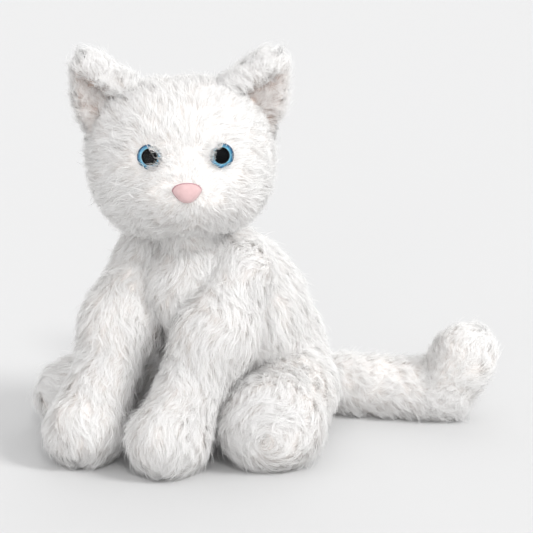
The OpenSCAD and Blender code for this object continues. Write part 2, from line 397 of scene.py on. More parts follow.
def smooth_shade(ob):
    ob.data.polygons.foreach_set("use_smooth", np.ones(len(ob.data.polygons), bool))
    return ob


def cover_grid(form, a, b, ra, rb, rings=44, sectors=56):
    """Vertices and faces of a closed skin drawn over a form: rings round the line a-b, pushed onto it."""
    axis = unit(b - a)
    e1 = unit(np.cross(axis, UP if abs(axis[2]) < 0.9 else np.array([0.0, 1.0, 0.0])))
    e2 = np.cross(axis, e1)
    length = np.linalg.norm(b - a)
    total = math.pi / 2 * (ra + rb) + length
    verts = [a - axis * ra]
    for i in range(1, rings):
        w = total * i / rings
        if w < math.pi / 2 * ra:
            centre, turn, r = a, w / ra - math.pi / 2, ra
        elif w < math.pi / 2 * ra + length:
            t = (w - math.pi / 2 * ra) / length
            centre, turn, r = a + (b - a) * t, 0.0, ra + (rb - ra) * t
        else:
            centre, turn, r = b, (w - math.pi / 2 * ra - length) / rb, rb
        for j in range(sectors):
            q = 2 * math.pi * j / sectors
            out = math.cos(q) * e1 + math.sin(q) * e2
            verts.append(centre + r * (math.cos(turn) * out + math.sin(turn) * axis))
    verts.append(b + axis * rb)
    verts = onto(form, np.array(verts), share=0.8, steps=12)
    last = len(verts) - 1

    def at(i, j):
        return 1 + (i - 1) * sectors + j % sectors

    faces = [(0, at(1, j + 1), at(1, j)) for j in range(sectors)]
    for i in range(1, rings - 1):
        for j in range(sectors):
            faces.append((at(i, j), at(i, j + 1), at(i + 1, j + 1), at(i + 1, j)))
    faces += [(at(rings - 1, j), at(rings - 1, j + 1), last) for j in range(sectors)]
    return verts, faces


# ---- materials ----


def material(name, rough=0.8, specular=0.3, colour=None, **sockets):
    """A Principled material with its uniform numbers set directly.

    Returns the material, its nodes, its links and its shader."""
    m = bpy.data.materials.new(name)
    m.use_nodes = True
    nt = m.node_tree
    bsdf = nt.nodes["Principled BSDF"]
    bsdf.inputs["Roughness"].default_value = rough
    bsdf.inputs["Specular IOR Level"].default_value = specular
    if colour is not None:
        bsdf.inputs["Base Color"].default_value = (*colour, 1)
    for key, value in sockets.items():
        bsdf.inputs[key.replace("_", " ")].default_value = value
    return m, nt.nodes, nt.links, bsdf


def ramp(nodes, stops):
    """A colour ramp from (place, colour) stops."""
    node = nodes.new("ShaderNodeValToRGB")
    elements = node.color_ramp.elements
    while len(elements) < len(stops):
        elements.new(0.5)
    for e, (place, colour) in zip(elements, stops):
        e.position = place
        e.color = (*colour, 1)
    return node


def pile_material(name, root, middle, tip, spread=0.06):
    """Colour of a strand, which lets light through: darker and warmer at its root, painted shade standing in
    for the dimness deep in the pile; varied between locks.
    """
    m, nodes, links, bsdf = material(name, rough=0.75, specular=0.12, Sheen_Weight=0.25, Sheen_Roughness=0.5)
    uv = nodes.new("ShaderNodeUVMap")
    uv.uv_map = "OFBake"
    split = nodes.new("ShaderNodeSeparateXYZ")
    links.new(uv.outputs["UV"], split.inputs[0])
    # painted shade: the ramp darkens and warms each strand's root end, where the pile's own shade falls
    root_to_tip_painted_shade = ramp(nodes, [(0.0, root), (0.45, middle), (1.0, tip)])
    links.new(split.outputs["Y"], root_to_tip_painted_shade.inputs["Fac"])
    columns = nodes.new("ShaderNodeMath")
    columns.operation = "MULTIPLY"
    columns.inputs[1].default_value = STRAND_COLUMNS
    links.new(split.outputs["X"], columns.inputs[0])
    floor = nodes.new("ShaderNodeMath")
    floor.operation = "FLOOR"
    links.new(columns.outputs[0], floor.inputs[0])
    noise = nodes.new("ShaderNodeTexWhiteNoise")
    noise.noise_dimensions = "1D"
    links.new(floor.outputs[0], noise.inputs["W"])
    level = nodes.new("ShaderNodeMapRange")
    level.inputs["To Min"].default_value = 1 - spread
    level.inputs["To Max"].default_value = 1.0
    links.new(noise.outputs["Value"], level.inputs["Value"])
    mix = nodes.new("ShaderNodeVectorMath")
    mix.operation = "SCALE"
    links.new(root_to_tip_painted_shade.outputs["Color"], mix.inputs[0])
    links.new(level.outputs["Result"], mix.inputs["Scale"])
    links.new(mix.outputs[0], bsdf.inputs["Base Color"])
    through = nodes.new("ShaderNodeBsdfTranslucent")
    links.new(mix.outputs[0], through.inputs["Color"])
    both = nodes.new("ShaderNodeMixShader")
    both.inputs["Fac"].default_value = THROUGH
    links.new(bsdf.outputs[0], both.inputs[1])
    links.new(through.outputs[0], both.inputs[2])
    links.new(both.outputs[0], nodes["Material Output"].inputs["Surface"])
    return m


def cloth_material(name, low, high, scale=900.0, bump=0.3, rough=0.9):
    """Cloth with fine loops and a soft change of tone."""
    m, nodes, links, bsdf = material(name, rough=rough, specular=0.15, Sheen_Weight=0.2)
    coord = nodes.new("ShaderNodeTexCoord")
    noise = nodes.new("ShaderNodeTexNoise")
    noise.inputs["Scale"].default_value = 120.0
    noise.inputs["Detail"].default_value = 4.0
    links.new(coord.outputs["Object"], noise.inputs["Vector"])
    tone = ramp(nodes, [(0.35, low), (0.65, high)])
    links.new(noise.outputs["Fac"], tone.inputs["Fac"])
    links.new(tone.outputs["Color"], bsdf.inputs["Base Color"])
    loops = nodes.new("ShaderNodeTexVoronoi")
    loops.inputs["Scale"].default_value = scale
    links.new(coord.outputs["Object"], loops.inputs["Vector"])
    bump_node = nodes.new("ShaderNodeBump")
    bump_node.inputs["Strength"].default_value = bump
    bump_node.inputs["Distance"].default_value = 0.2 * MM
    links.new(loops.outputs["Distance"], bump_node.inputs["Height"])
    links.new(bump_node.outputs["Normal"], bsdf.inputs["Normal"])
    return m


STRAND_COLUMNS = 64
THROUGH = 0.5       # share of the light that goes through a fine strand

# painted shade: the root colours below are darker than the tips to stand in for shade deep in the pile
WHITE_PILE = pile_material("white_pile", (0.93, 0.905, 0.885), (0.98, 0.975, 0.968), (0.988, 0.986, 0.982),
                           spread=0.03)
# the lining pile's pinkish tan roots: the lining's own tint, darkened as painted shade for the ear's crease
EAR_PILE = pile_material("ear_pile", (0.66, 0.57, 0.52), (0.90, 0.87, 0.85), (0.95, 0.94, 0.93))
# painted shade: the backing is darker than white cloth so that bare patches match the shade among the strands
BACKING = cloth_material("knit_backing", (0.77, 0.735, 0.71), (0.83, 0.80, 0.78))
# the lining cloth's own pink, darkened as painted shade for the ear's crease where its short pile leaves it
# bare
EAR_CLOTH = cloth_material("ear_cloth", (0.60, 0.49, 0.44), (0.68, 0.58, 0.53))
FIBRE_FILL = cloth_material("fibre_fill", (0.85, 0.85, 0.84), (0.93, 0.93, 0.92), scale=300.0)


# ---- the pile ----


class Lay:
    """How a piece's pile is cut and combed."""

    def __init__(self, comb, length=10.5, lift=4.4, wave=0.42, density=0.12, per_lock=15, width=0.4,
                 lock=1.1, gather=0.7, keep=None, shorten=None, stray=0.26, clear_of=None, depth=3.5):
        self.comb = comb            # points, normals -> the way the pile is brushed
        self.length = length * MM   # of a strand
        self.lift = lift * MM       # how far a strand's tip stands off the cloth
        self.wave = wave            # how strongly the comb wanders, in radians
        self.density = density      # locks for each square millimetre
        self.per_lock = per_lock    # strands in a lock
        self.width = width * MM     # of a strand
        self.lock = lock * MM       # spread of a lock's roots
        self.gather = gather        # how far a lock closes up towards its tip
        self.keep = keep            # points -> where any pile grows
        self.shorten = shorten      # points -> share of the full length
        self.stray = stray          # how far a lock turns from the comb, in radians
        self.clear_of = clear_of    # strand places -> the same, moved clear of hard parts
        self.depth = depth * MM     # how deep inside another piece roots still grow


STEPS = 4                # bends along a strand
ROOT_SINK = 0.5 * MM     # how far a root starts below the cloth
TIP_DROOP = 0.9 * MM     # how far a tip sinks under its own weight
STRAY_SHARE = 0.05       # share of the strands that stand up out of the pile
STRAY_RISE = 1.6
FLOOR_GAP = 0.15 * MM    # least height of a strand
CLOTH_GAP = 0.3 * MM     # least height of the cloth
ROOT_GAP = 1.2 * MM      # least height of a root
FILL_INSET = 3.0 * MM    # how far inside the cloth the filling is drawn


def sample(verts, faces, density):
    """Random points on a mesh, `density` for each square millimetre."""
    tris = np.array([(f[0], f[k], f[k + 1]) for f in faces for k in range(1, len(f) - 1)])
    a, b, c = (verts[tris[:, k]] for k in range(3))
    area = np.linalg.norm(np.cross(b - a, c - a), axis=1) / 2
    count = int(area.sum() / MM**2 * density)
    pick = rng.choice(len(tris), count, p=area / area.sum())
    u, v = rng.random(count), rng.random(count)
    over = u + v > 1
    u[over], v[over] = 1 - u[over], 1 - v[over]
    return a[pick] + u[:, None] * (b - a)[pick] + v[:, None] * (c - a)[pick]


def grow(form, roots, lay, seed):
    """Strands of pile from the roots of its locks.

    Returns their places (strand, step, 3), the way across them, the cloth's normals and the way along them,
    in the same layout, and the number of each strand's lock."""
    count = len(roots)
    size = np.ones(count) if lay.shorten is None else lay.shorten(roots)
    size = size * rng.uniform(0.82, 1.15, count)
    turn = rng.normal(0, lay.stray, count) + 0.6 * lay.wave * waves(roots, 10 * MM, seed + 1)
    bend = rng.normal(0, 0.45, count)
    length = lay.length * size
    p = roots.copy()
    places, alongs, normals = [], [], []
    for i in range(STEPS + 1):
        n = gradient(form, p)
        p = p - n * (np.clip(form(p), -4 * MM, 4 * MM) * 0.85)[:, None]
        t = flat(lay.comb(p, n), n)
        b = np.cross(n, t)
        angle = turn + bend * i / STEPS + lay.wave * waves(p, 30 * MM, seed)
        t = t * np.cos(angle)[:, None] + b * np.sin(angle)[:, None]
        places.append(p)
        alongs.append(t)
        normals.append(n)
        p = p + t * (length / STEPS)[:, None]
    places, alongs, normals = (np.stack(x, 1) for x in (places, alongs, normals))

    per = lay.per_lock
    lock = np.repeat(np.arange(count), per)
    total = len(lock)
    reach = rng.uniform(0.72, 1.0, total)
    s = np.linspace(0, 1, STEPS + 1)[None, :] * reach[:, None]
    f = s * STEPS
    lo = np.minimum(f.astype(int), STEPS - 1)
    w = (f - lo)[..., None]
    rows = lock[:, None]

    def along_lock(x):
        return x[rows, lo] * (1 - w) + x[rows, lo + 1] * w

    base, t, n = (along_lock(x) for x in (places, alongs, normals))
    t, n = unit(t), unit(n)
    side = np.cross(n, t)
    loose = rng.uniform(0, 1, total)[:, None] ** 2
    spread_t = rng.normal(0, lay.lock * 1.5, total)[:, None]
    spread_b = rng.normal(0, lay.lock, total)[:, None] * (1 + 0.8 * loose)
    close = 1 - lay.gather * (1 - 0.8 * loose) * smooth(s, 0.1, 1.0)
    rise = lay.lift * size[lock] * rng.uniform(0.55, 1.15, total)
    rise = rise * (1 + 0.25 * waves(roots[lock], 14 * MM, seed + 2))
    stray = rng.random(total) < STRAY_SHARE
    rise[stray] *= STRAY_RISE
    height = rise[:, None] * (1 - (1 - s) ** 1.7) - ROOT_SINK * (1 - s) ** 6
    pitch = rng.uniform(4, 8, count)[lock][:, None]
    phase = rng.uniform(0, 6.3, count)[lock][:, None]
    curl = lay.lock * 0.45 * np.sin(s * pitch + phase)
    x = base + t * (spread_t * close)[..., None] + side * (spread_b * close + curl * s)[..., None]
    # the lock's tip droops a little under its own weight
    x = x - UP * (TIP_DROOP * s**2)[..., None]
    # roots that the spread moved off the cloth go back onto it, and the height is added along the normal
    d = form(x.reshape(-1, 3)).reshape(x.shape[:2])
    x = x + n * (height - np.clip(d, -5 * MM, 5 * MM) * 0.6 * (1 - 0.6 * s))[..., None]
    if lay.clear_of is not None:
        x = lay.clear_of(x)
    return x, side, n, t, lock


def strand_mesh(name, x, side, n, t, width, columns):
    """Flat tapering ribbons along the strands, shaded as if they were round."""
    total, rings = x.shape[0], x.shape[1]
    s = np.linspace(0, 1, rings)
    taper = 1 - 0.75 * s
    twist = np.clip(rng.normal(0, 0.5, total), -1.2, 1.2)[:, None, None]
    across = unit(side * np.cos(twist) + n * np.sin(twist))
    face = unit(np.cross(t, across))
    face = face * np.sign(np.sum(face * n, -1, keepdims=True))
    half = (width * rng.uniform(0.75, 1.2, total)[:, None] * taper / 2)[..., None]
    left, right = x - across * half, x + across * half
    low = FLOOR_GAP * (1 + rng.random(total)[:, None] * 3)
    verts = np.empty((total, 2 * rings - 1, 3))
    verts[:, 0 : 2 * rings - 2 : 2] = left[:, :-1]
    verts[:, 1 : 2 * rings - 2 : 2] = right[:, :-1]
    verts[:, -1] = x[:, -1]
    verts[..., 2] = np.maximum(verts[..., 2], low)
    norms = np.empty_like(verts)
    norms[:, 0 : 2 * rings - 2 : 2] = (face - across * 0.6)[:, :-1]
    norms[:, 1 : 2 * rings - 2 : 2] = (face + across * 0.6)[:, :-1]
    norms[:, -1] = face[:, -1]
    norms = unit(norms + 0.6 * np.repeat(n, 2, 1)[:, : 2 * rings - 1])
    quads = [(2 * i, 2 * i + 2, 2 * i + 3, 2 * i + 1) for i in range(rings - 2)]
    loop = np.array([k for q in quads for k in q] + [2 * rings - 4, 2 * rings - 2, 2 * rings - 3])
    first = np.array([4 * i for i in range(rings - 1)])
    base = np.arange(total)[:, None] * (2 * rings - 1)
    corners = (base + loop[None, :]).ravel()
    starts = (np.arange(total)[:, None] * len(loop) + first[None, :]).ravel()
    ob = new_mesh(name, verts.reshape(-1, 3), corners, starts)
    v = np.repeat(s[:-1], 2).tolist() + [1.0]
    u_side = [0.0, 1.0] * (rings - 1) + [0.5]
    uv = np.empty((total, len(loop), 2), np.float32)
    uv[..., 0] = (columns[:, None] + np.array(u_side)[loop][None, :]) / STRAND_COLUMNS
    uv[..., 1] = np.array(v)[loop][None, :]
    layer = ob.data.uv_layers.new(name="OFBake")
    layer.uv.foreach_set("vector", uv.ravel())
    smooth_shade(ob)
    ob.data.normals_split_custom_set_from_vertices(norms.reshape(-1, 3))
    return ob


FORMS = {}      # each stuffed body's form, by the body's name


def hidden(p, own, depth):
    """Whether roots lie too deep inside another piece for anyone to see their pile."""
    inside = np.zeros(len(p), bool)
    for name, form in FORMS.items():
        if name != own:
            inside |= form(p) < -depth
    return inside


def stuffed_piece(body, form, skin, panels, lay, seed, filling=None):
    """A stuffed body's covers and their pile, cut at the seams into one piece for each CAD cover.

    skin is its vertices and faces. panels is a list of (CAD node, points -> whether they belong to it);
    the first that fits takes a face. filling is the CAD node of the fibre inside them."""
    verts, faces = skin
    verts[:, 2] = np.maximum(verts[:, 2], CLOTH_GAP)
    if filling is not None:
        inner = mesh_of(f"{filling}_fibre", verts - gradient(form, verts) * FILL_INSET, faces)
        smooth_shade(inner)
        inner.data.materials.append(FIBRE_FILL)
        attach(inner, body)
        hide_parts(filling)
    centres = np.array([verts[list(f)].mean(0) for f in faces])
    roots = sample(verts, faces, lay.density)
    good = ~hidden(roots, body, lay.depth) & (roots[:, 2] > ROOT_GAP)
    if lay.keep is not None:
        good &= lay.keep(roots)
    roots = roots[good]
    x, side, n, t, lock = grow(form, roots, lay, seed)
    columns = rng.integers(0, STRAND_COLUMNS, len(roots))[lock]
    columns = (columns + rng.integers(0, 3, len(columns))) % STRAND_COLUMNS
    face_owner = owner_of(centres, panels)
    root_owner = owner_of(roots, panels)[lock]
    for i, (node, _) in enumerate(panels):
        mine = [f for f, o in zip(faces, face_owner) if o == i]
        if not mine:
            continue
        cloth = mesh_of(f"{node}_cloth", verts, mine)
        drop_loose(cloth)
        smooth_shade(cloth)
        cloth.data.materials.append(EAR_CLOTH if "lining" in node else BACKING)
        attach(cloth, body)
        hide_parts(node)
        pick = root_owner == i
        if pick.any():
            pile = strand_mesh(f"{node}_pile", x[pick], side[pick], n[pick], t[pick], lay.width,
                               columns[pick])
            pile.data.materials.append(EAR_PILE if "lining" in node else WHITE_PILE)
            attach(pile, body)


def owner_of(points, panels):
    """The number of the first panel that each point belongs to."""
    owner = np.full(len(points), len(panels) - 1)
    for i in range(len(panels) - 1, -1, -1):
        owner[panels[i][1](points)] = i
    return owner


def drop_loose(ob):
    """Removes the vertices that no face of a piece uses."""
    me = ob.data
    used = np.zeros(len(me.vertices), bool)
    index = np.empty(len(me.loops), np.int32)
    me.loops.foreach_get("vertex_index", index)
    used[index] = True
    bm = bmesh.new()
    bm.from_mesh(me)
    bm.verts.ensure_lookup_table()
    bmesh.ops.delete(bm, geom=[bm.verts[i] for i in np.nonzero(~used)[0]], context="VERTS")
    bm.to_mesh(me)
    bm.free()


def everywhere(p):
    return np.ones(len(p), bool)


# ---- combing ----

NOSE = in_head(0, -53, -12.4)
EYE = {s: np.mean(box(f"eye_iris_{s}"), 0) for s in SIDES}
EYE_R = 7 * MM


def brow(p, s):
    """How much points lie beside an eye, on the side of the nose, where the pile hangs over its edge."""
    inward = unit(p - EYE[s]) @ (-SIDES[s] * FACE_RIGHT_TO_LEFT)
    far = np.linalg.norm(p - EYE[s], axis=1)
    return smooth(inward, 0.2, 0.7) * (1 - smooth(far, 9 * MM, 14 * MM))


def comb_head(p, n):
    away = unit(p - NOSE)
    back = smooth((p - HEAD) @ -FACE_FORWARD, 0, 30 * MM)[:, None]
    way = away * (1 - 0.6 * back) - UP * (0.12 + 0.9 * back)
    for s in SIDES:
        way = way + 2.5 * brow(p, s)[:, None] * unit(EYE[s] - p)
    return way


def comb_torso(p, n):
    return np.tile([0.0, 0.12, -1.0], (len(p), 1)) + 0.25 * n * np.array([1, 1, 0])


def comb_neck(p, n):
    return np.tile([0.0, 0.0, -1.0], (len(p), 1))


def comb_along(a, b, swirl=0.0, droop=0.0, part=0.0, crown=None):
    """Combed along a limb, parted down its front, and turning in a whorl at its end. crown is the way the
    pile lies over the limb's start."""
    axis = unit(b - a)
    across = unit(np.cross(axis, UP))

    def comb(p, n):
        if crown is not None:
            start = (1 - smooth((p - a) @ axis, -4 * MM, 22 * MM))[:, None]
            return body_comb(p) * (1 - start) + np.array(crown) * start
        return body_comb(p)

    def body_comb(p):
        end = smooth((p - b) @ axis, 2 * MM, 16 * MM)[:, None]
        around = unit(np.cross(axis, p - b))
        parted = across * np.tanh((p - a) @ across / (8 * MM))[:, None] * part
        return (axis + parted) * (1 - 0.8 * end) + around * swirl * end + unit(p - b) * end * 0.2 - UP * droop

    return comb


# ---- the body's pieces ----

FORMS.update(
    torso=torso_form, neck=neck_form, head=head_form, tail_base=tail_base_form, tail_tip=tail_tip_form,
    **{f"front_leg_{s}": front_leg_form(s) for s in SIDES},
    **{f"hind_leg_{s}": hind_leg_form(s) for s in SIDES},
    **{f"ear_{s}": ear_form(s) for s in SIDES},
)

torso_axis = unit(CHEST - SEAT)
torso_front = unit(np.cross(np.array([1.0, 0.0, 0.0]), torso_axis))
if torso_front[1] > 0:
    torso_front = -torso_front


def is_seat(p):
    return p[:, 2] < SEAT_PANEL_H


def is_belly(p):
    return ((p - SEAT) @ torso_front > 0) & (p[:, 1] < BELLY_BACK_Y)


stuffed_piece(
    "torso", torso_form, cover_grid(torso_form, SEAT, CHEST, SEAT_R, CHEST_R, 56, 72),
    [("seat_panel", is_seat), ("belly_panel", is_belly),
     ("back_panel_left", lambda p: p[:, 0] > 0), ("back_panel_right", everywhere)],
    Lay(comb_torso, length=11.5, density=0.138), seed=1, filling="body_filling",
)

stuffed_piece(
    "neck", neck_form, cover_grid(neck_form, NECK - 12 * MM * UP, NECK, NECK_R, NECK_R, 24, 32),
    [("neck_core", everywhere)], Lay(comb_neck, length=11, density=0.15, depth=6), seed=3,
)


def head_x(p):
    return (p - HEAD) @ FACE_RIGHT_TO_LEFT


def is_chin(p):
    return (np.abs(head_x(p)) < GUSSET_HALF) & ((p - HEAD) @ FACE_FORWARD > -5 * MM) & (p[:, 2] < NOSE[2])


def face_length(p):
    """The pile is shorter over the nose and round the eyes."""
    near_nose = smooth(np.linalg.norm(p - NOSE, axis=1), 6 * MM, 34 * MM)
    size = 0.52 + 0.48 * near_nose
    for s in SIDES:
        near = 1 - smooth(np.linalg.norm(p - EYE[s], axis=1), 8 * MM, 18 * MM)
        size = size * (1 - (0.3 + 0.46 * brow(p, s)) * near)
    return size


HEAD_SHARE = 0.4        # share of the head's roots that are kept away from the brows
NOSE_CLEAR = 6.0 * MM   # no pile grows nearer the middle of the nose


def face_keep(p):
    """Thins the roots but for the brows, and leaves the nose and the eyes clear."""
    share = HEAD_SHARE + 0.5 * brow(p, "left") + 0.5 * brow(p, "right")
    clear = (np.linalg.norm(p - NOSE, axis=1) > NOSE_CLEAR) & (rng.random(len(p)) < share)
    for s in SIDES:
        away = unit(p - EYE[s]) @ unit(NOSE - EYE[s])
        clear &= np.linalg.norm(p - EYE[s], axis=1) > EYE_R + 0.3 * MM * away
    return clear


DOME_R = 9.67 * MM          # radius of the sphere that an eye's dome is cut from
DOME_DEPTH = 5.2 * MM       # how far its centre lies behind the iris
STRAND_GAP = 0.35 * MM      # between a dome and the strands over it
RIM_GAP = 0.3 * MM          # between a dome's rim and the nearest roots


def eye_axis(s):
    """The way an eye looks."""
    return unit(EYE[s] - in_head(SIDES[s] * SKULL_HALF, 0, 1))


def off_the_eyes(x):
    """Strands start round the edges of the eyes' domes and hang over them, not through them."""
    for s in SIDES:
        axis = eye_axis(s)
        centre = EYE[s] - axis * DOME_DEPTH
        q = x - centre
        height = (q @ axis)[..., None]
        across = q - height * axis
        wide = np.maximum(np.linalg.norm(across, axis=-1, keepdims=True), 1e-6)
        edge = EYE_R + RIM_GAP
        clear = DOME_R + STRAND_GAP
        over = np.sqrt(np.maximum(clear**2 - np.minimum(wide, edge) ** 2, 0))
        over = over - 1.2 * np.maximum(wide - edge, 0)
        near = (wide < edge) & (height < over) & (height > -8 * MM)
        crossing = near[:, 1:].any(1, keepdims=True)
        root = centre + height * axis + across / wide * np.maximum(wide, edge)
        lifted = centre + across + axis * np.maximum(height, over)
        x = np.where(crossing & (wide < edge + 3 * MM), lifted, x)
        x[:, 0] = np.where(near, root, x)[:, 0]
    return x


stuffed_piece(
    "head", head_form, cover_grid(head_form, in_head(-11, 0, 1), in_head(11, 0, 1), SKULL_R, SKULL_R, 72, 72),
    [("chin_panel", is_chin), ("crown_gusset", lambda p: np.abs(head_x(p)) < GUSSET_HALF),
     ("head_panel_left", lambda p: head_x(p) > 0), ("head_panel_right", everywhere)],
    Lay(comb_head, length=11, lift=3.8, wave=0.35, density=0.42, keep=face_keep, shorten=face_length,
        clear_of=off_the_eyes), seed=5, filling="head_filling",
)


def limb_side(a, b, sign):
    """Whether points are on one side of the upright plane through a limb."""
    across = unit(np.cross(UP, unit(b - a))) * sign
    return lambda p: (p - a) @ across > 0


for s, sign in SIDES.items():
    a, b = SHOULDER[s], PAW[s]
    form = FORMS[f"front_leg_{s}"]
    stuffed_piece(
        f"front_leg_{s}", form, cover_grid(form, a, b, SHOULDER_R, PAW_R),
        [(f"front_leg_outer_{s}", limb_side(a, b, sign)), (f"front_leg_inner_{s}", everywhere)],
        Lay(comb_along(a, b, part=0.4, crown=(0.15 * sign, -0.8, -0.6)), density=0.155), seed=11 + sign,
        filling=f"front_leg_filling_{s}",
    )
    a, b = HIP[s], FOOT[s]
    form = FORMS[f"hind_leg_{s}"]
    stuffed_piece(
        f"hind_leg_{s}", form, cover_grid(form, a, b, HIP_R, FOOT_R),
        [(f"hind_leg_outer_{s}", limb_side(a, b, sign)), (f"hind_leg_inner_{s}", everywhere)],
        Lay(comb_along(a, b, swirl=0.35, droop=0.1, crown=(0.5 * sign, 0.1, -0.8)), density=0.155),
        seed=21 + sign,
        filling=f"hind_leg_filling_{s}",
    )


def tail_upper(a, b):
    """Whether points are on the upper half of a part of the tail."""
    across = unit(np.cross(unit(b - a), UP))
    top = np.cross(across, unit(b - a))
    return lambda p: (p - a) @ top > 0


stuffed_piece(
    "tail_base", tail_base_form, cover_grid(tail_base_form, TAIL_ROOT, TAIL_BEND, TAIL_R, TAIL_R),
    [("tail_base_upper", tail_upper(TAIL_ROOT, TAIL_BEND)), ("tail_base_lower", everywhere)],
    Lay(comb_along(TAIL_ROOT, TAIL_BEND, droop=0.3), length=9.5, lift=5.0, stray=0.4, density=0.155), seed=31,
    filling="tail_base_filling",
)
stuffed_piece(
    "tail_tip", tail_tip_form, cover_grid(tail_tip_form, TAIL_BEND, TAIL_END, TAIL_R, TAIL_END_R),
    [("tail_tip_upper", tail_upper(TAIL_BEND, TAIL_END)), ("tail_tip_lower", everywhere)],
    Lay(comb_along(TAIL_BEND, TAIL_END), length=8.5, lift=4.6, stray=0.4, density=0.155), seed=33,
    filling="tail_tip_filling",
)

for s, sign in SIDES.items():
    form = FORMS[f"ear_{s}"]
    foot, inner, tip = (in_head(sign * x, 1, z) for x, z in (EAR_FOOT, EAR_INNER, EAR_TIP))
    middle = in_head(sign * EAR_MIDDLE[0], 1, EAR_MIDDLE[1])

    def comb_ear(p, n, start=(foot + inner) / 2, tip=tip, middle=middle):
        rim = smooth(np.linalg.norm(p - middle, axis=1), 4 * MM, 18 * MM)[:, None]
        return unit(tip - start) + 1.3 * unit(p - middle) * rim

    def ear_size(p, side=s, lined=ear_lined(s)):
        _, from_upper, _ = ear_places(p, side)
        # short lining strands next to the roll let the darker roots and cloth show there, as painted crease
        # shade
        return np.where(lined(p), 0.35 + 0.5 * smooth(from_upper, EAR_ROLL + 1, EAR_ROLL + 9), 1.0)

    stuffed_piece(
        f"ear_{s}", form, ear_skin(s, form),
        [(f"ear_lining_{s}", ear_lined(s)), (f"ear_back_{s}", everywhere)],
        Lay(comb_ear, length=10, lift=5.0, density=0.42, per_lock=11, width=0.32, lock=0.8, gather=0.45,
            shorten=ear_size, depth=9, stray=0.4), seed=41 + sign,
    )

# ---- eyes and nose ----


def lathe(name, centre, axis, profile, sectors=64):
    """A closed solid of revolution from (radius, height) points in millimetres, along axis from centre."""
    e1 = unit(np.cross(axis, UP))
    e2 = np.cross(axis, e1)
    verts, faces = [], []
    for r, h in profile:
        for j in range(sectors):
            q = 2 * math.pi * j / sectors
            verts.append(centre + axis * h * MM + r * MM * (math.cos(q) * e1 + math.sin(q) * e2))
    last = len(profile) - 1
    for i in range(last):
        for j in range(sectors):
            k = (j + 1) % sectors
            faces.append((i * sectors + j, i * sectors + k, (i + 1) * sectors + k, (i + 1) * sectors + j))
    faces.append(tuple(range(sectors))[::-1])
    faces.append(tuple(last * sectors + j for j in range(sectors)))
    ob = mesh_of(name, np.array(verts), faces)
    return smooth_shade(ob)


def iris_material(side, centre):
    """Rings of blue round the pupil, printed on the back of the dome."""
    m, nodes, links, bsdf = material(f"iris_{side}", rough=0.35, specular=0.5)
    distance = nodes.new("ShaderNodeVectorMath")
    distance.operation = "DISTANCE"
    distance.inputs[1].default_value = centre
    coord = nodes.new("ShaderNodeTexCoord")
    links.new(coord.outputs["Object"], distance.inputs[0])
    scale = nodes.new("ShaderNodeMath")
    scale.operation = "DIVIDE"
    scale.inputs[1].default_value = EYE_R
    links.new(distance.outputs["Value"], scale.inputs[0])
    rings = ramp(nodes, [(0.64, (0.34, 0.62, 0.75)), (0.71, (0.13, 0.42, 0.60)), (0.82, (0.035, 0.22, 0.40)),
                         (0.92, (0.008, 0.07, 0.16)), (1.0, (0.001, 0.01, 0.03))])
    links.new(scale.outputs[0], rings.inputs["Fac"])
    links.new(rings.outputs["Color"], bsdf.inputs["Base Color"])
    return m


CLEAR, *_ = material("clear_dome", rough=0.02, specular=0.5, colour=(1.0, 1.0, 1.0),
                     Transmission_Weight=1.0, IOR=1.13)
PUPIL_BLACK, *_ = material("pupil_black", rough=0.6, specular=0.0, colour=(0.004, 0.004, 0.005))

for s in SIDES:
    centre = EYE[s]
    axis = eye_axis(s)
    iris = lathe(f"eye_iris_{s}_disc", centre, axis,
                 [(5.2, -0.5), (6.5, -0.5), (6.8, -0.2), (6.9, 0.3), (6.7, 0.6), (5.6, 0.62), (3.0, 0.62)])
    iris.data.materials.append(iris_material(s, centre + axis * 0.5 * MM))
    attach(iris, "head")
    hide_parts(f"eye_iris_{s}")
    pupil = lathe(f"eye_pupil_{s}_disc", centre, axis,
                  [(3.8, 0.7), (4.4, 0.75), (4.55, 0.9), (4.45, 1.05), (4.0, 1.12), (2.0, 1.15)])
    pupil.data.materials.append(PUPIL_BLACK)
    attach(pupil, "head")
    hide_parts(f"eye_pupil_{s}")
    dome = [(6.3, 1.25), (6.9, 1.3), (7.1, 1.6)]
    dome += [(7.0 * math.cos(a), 1.7 + 3.1 * math.sin(a)) for a in np.linspace(0.08, 1.5, 12)]
    lens = lathe(f"eye_lens_{s}_dome", centre, axis, dome)
    lens.data.materials.append(CLEAR)
    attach(lens, "head")
    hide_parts(f"eye_lens_{s}")


def nose_material():
    """Pink satin with a faint change of tone."""
    m, nodes, links, bsdf = material("nose_satin", rough=0.55, specular=0.3, Sheen_Weight=0.4)
    coord = nodes.new("ShaderNodeTexCoord")
    noise = nodes.new("ShaderNodeTexNoise")
    noise.inputs["Scale"].default_value = 300.0
    links.new(coord.outputs["Object"], noise.inputs["Vector"])
    tone = ramp(nodes, [(0.3, (0.55, 0.37, 0.37)), (0.7, (0.61, 0.42, 0.42))])
    links.new(noise.outputs["Fac"], tone.inputs["Fac"])
    links.new(tone.outputs["Color"], bsdf.inputs["Base Color"])
    return m


NOSE_PINK = nose_material()
NOSE_RIM = cloth_material("nose_rim", (0.34, 0.17, 0.19), (0.42, 0.22, 0.24), scale=2000.0, rough=0.7)

# Half of the nose's outline, from the middle of its top edge round to the middle of its bottom edge
NOSE_HALF = [(0, 5.5), (3.2, 5.3), (6.2, 4.2), (8.1, 2.3), (8.3, 0.7), (7.2, -1.3), (5.2, -3.6), (2.8, -5.4),
             (0, -6.0)]


